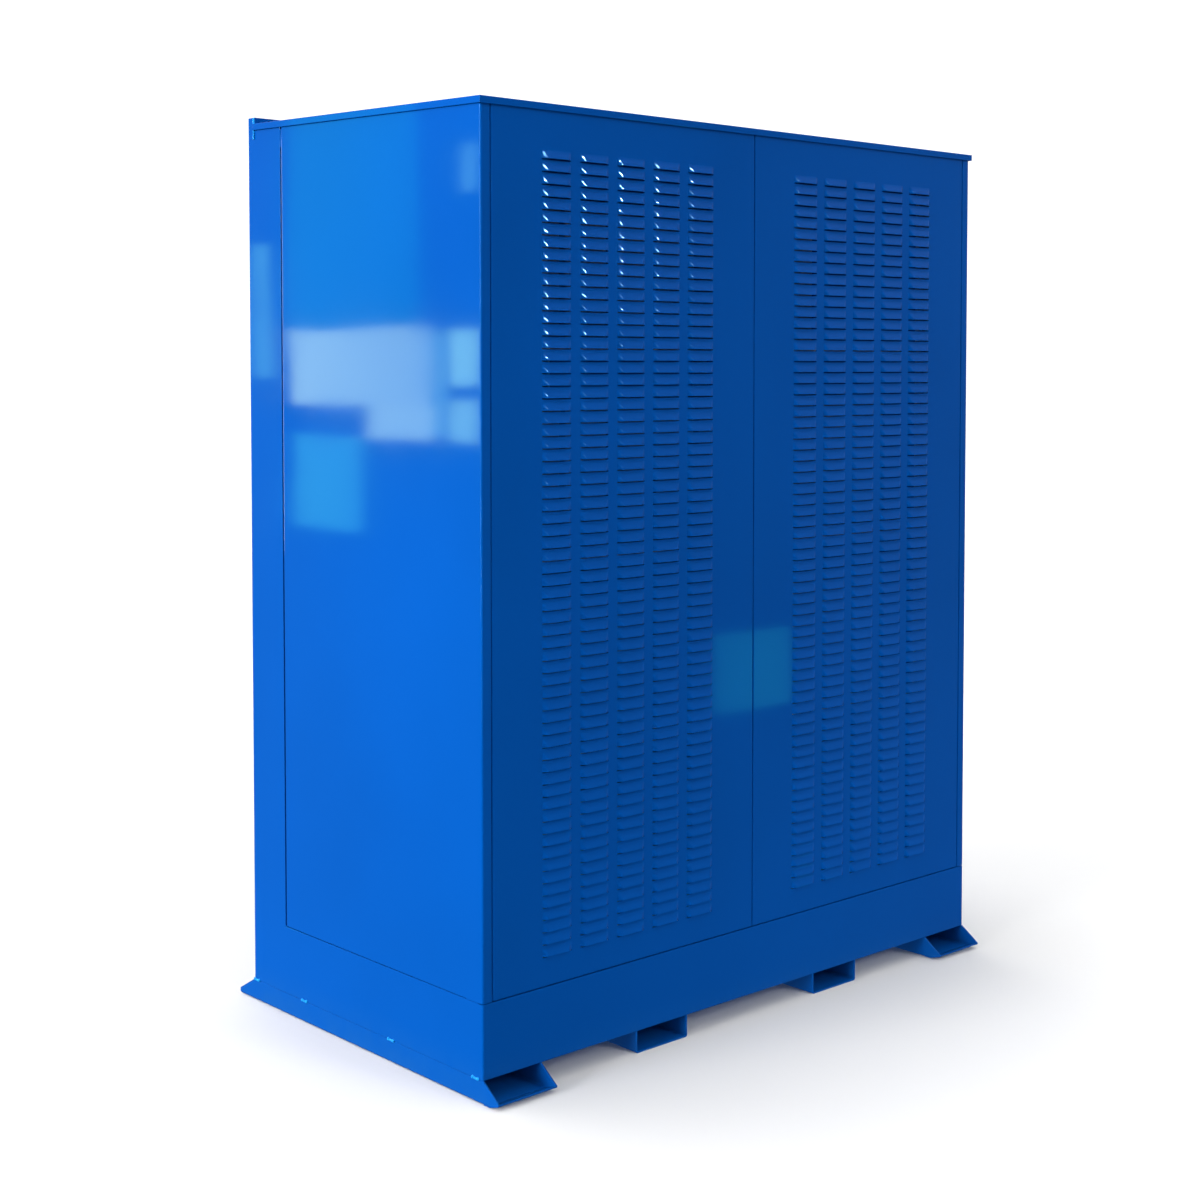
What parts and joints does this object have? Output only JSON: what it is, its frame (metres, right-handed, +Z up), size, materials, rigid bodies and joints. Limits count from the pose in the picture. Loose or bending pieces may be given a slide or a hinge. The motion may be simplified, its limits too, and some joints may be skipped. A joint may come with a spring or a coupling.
{
  "type": "battery cabinet",
  "caption": "Outdoor battery cabinet on steel skids, with a louvred face, a falling roof, hinged doors with rod locks and a tiered battery rack behind them.",
  "frame": {"origin": "bottom centre of the bounding box, on the ground under the skids", "axes": "+Z up; -Y towards the louvred face; +Y towards the doors; +X to the right when facing the louvred face"},
  "size_m": [1.612, 0.984, 2.087],
  "materials": {
    "painted_blue": "gloss polyester paint",
    "zinc_steel": "bright zinc plating",
    "black_plastic": "fine moulded grain",
    "seal_rubber": "soft matt",
    "battery_case": "moulded satin",
    "grey_plastic": "moulded satin",
    "red_plastic": "gloss",
    "copper": "bright copper and brass"
  },
  "bodies": {
    "cabinet": {"carcass": "painted_blue", "floor_plate": "painted_blue", "gland_plate": "zinc_steel", "gland_screws": "zinc_steel", "earth_stud": "copper", "skid_outer_left": "painted_blue", "skid_inner_left": "painted_blue", "skid_inner_right": "painted_blue", "skid_outer_right": "painted_blue", "side_panel_left": "painted_blue", "side_panel_right": "painted_blue", "roof": "painted_blue", "rear_mullion": "painted_blue", "rear_panel_left": "painted_blue", "rear_panel_right": "painted_blue", "door_mullion": "painted_blue", "door_seals": "seal_rubber", "keepers": "zinc_steel", "frame_hinges_left": "zinc_steel", "frame_hinges_right": "zinc_steel", "rack_posts": "zinc_steel", "shelf_1": "zinc_steel", "shelf_2": "zinc_steel", "shelf_3": "zinc_steel", "shelf_4": "zinc_steel", "battery_row_1": "battery_case", "battery_row_2": "battery_case", "battery_row_3": "battery_case", "battery_row_4": "battery_case", "battery_links": "copper", "hold_down_bars": "zinc_steel", "isolator_box": "grey_plastic", "cable_duct": "grey_plastic"},
    "isolator": {"isolator_knob": "red_plastic"},
    "door_left": {"door_skin_left": "painted_blue", "door_ribs_left": "zinc_steel", "door_hinges_left": "zinc_steel", "lock_case_left": "zinc_steel", "escutcheon_left": "black_plastic", "rod_guides_left": "zinc_steel"},
    "lever_left": {"handle_left": "black_plastic"},
    "upper_rod_left": {"rod_top_left": "zinc_steel"},
    "lower_rod_left": {"rod_bottom_left": "zinc_steel"},
    "door_right": {"door_skin_right": "painted_blue", "door_ribs_right": "zinc_steel", "door_hinges_right": "zinc_steel", "lock_case_right": "zinc_steel", "escutcheon_right": "black_plastic", "rod_guides_right": "zinc_steel"},
    "lever_right": {"handle_right": "black_plastic"},
    "upper_rod_right": {"rod_top_right": "zinc_steel"},
    "lower_rod_right": {"rod_bottom_right": "zinc_steel"}
  },
  "joints": [
    {"name": "door_left_swing", "type": "hinge", "parent": "cabinet", "child": "door_left", "pos_m": [-0.7385, 0.4365, 1.0985], "axis": [0, 0, 1], "range_deg": [0, 120]},
    {"name": "lever_left_turn", "type": "hinge", "parent": "door_left", "child": "lever_left", "pos_m": [-0.074, 0.461, 1.087], "axis": [0, -1, 0], "range_deg": [0, 90]},
    {"name": "upper_rod_left_slide", "type": "slide", "parent": "door_left", "child": "upper_rod_left", "axis": [0, 0, 1], "range_m": [0, 0.0201]},
    {"name": "lower_rod_left_slide", "type": "slide", "parent": "door_left", "child": "lower_rod_left", "axis": [0, 0, -1], "range_m": [0, 0.0201]},
    {"name": "door_right_swing", "type": "hinge", "parent": "cabinet", "child": "door_right", "pos_m": [0.7385, 0.4365, 1.0985], "axis": [0, 0, -1], "range_deg": [0, 120]},
    {"name": "lever_right_turn", "type": "hinge", "parent": "door_right", "child": "lever_right", "pos_m": [0.074, 0.461, 1.087], "axis": [0, 1, 0], "range_deg": [0, 90]},
    {"name": "upper_rod_right_slide", "type": "slide", "parent": "door_right", "child": "upper_rod_right", "axis": [0, 0, 1], "range_m": [0, 0.0201]},
    {"name": "lower_rod_right_slide", "type": "slide", "parent": "door_right", "child": "lower_rod_right", "axis": [0, 0, -1], "range_m": [0, 0.0201]},
    {"name": "isolator_turn", "type": "hinge", "parent": "cabinet", "child": "isolator", "pos_m": [0.56, 0.3025, 1.79425], "axis": [0, 1, 0], "range_deg": [0, 90]}
  ],
  "couplings": [
    {"joint": "upper_rod_left_slide", "follows": "lever_left_turn", "m_per_rad": 0.012732},
    {"joint": "lower_rod_left_slide", "follows": "lever_left_turn", "m_per_rad": 0.012732},
    {"joint": "upper_rod_right_slide", "follows": "lever_right_turn", "m_per_rad": 0.012732},
    {"joint": "lower_rod_right_slide", "follows": "lever_right_turn", "m_per_rad": 0.012732}
  ]
}
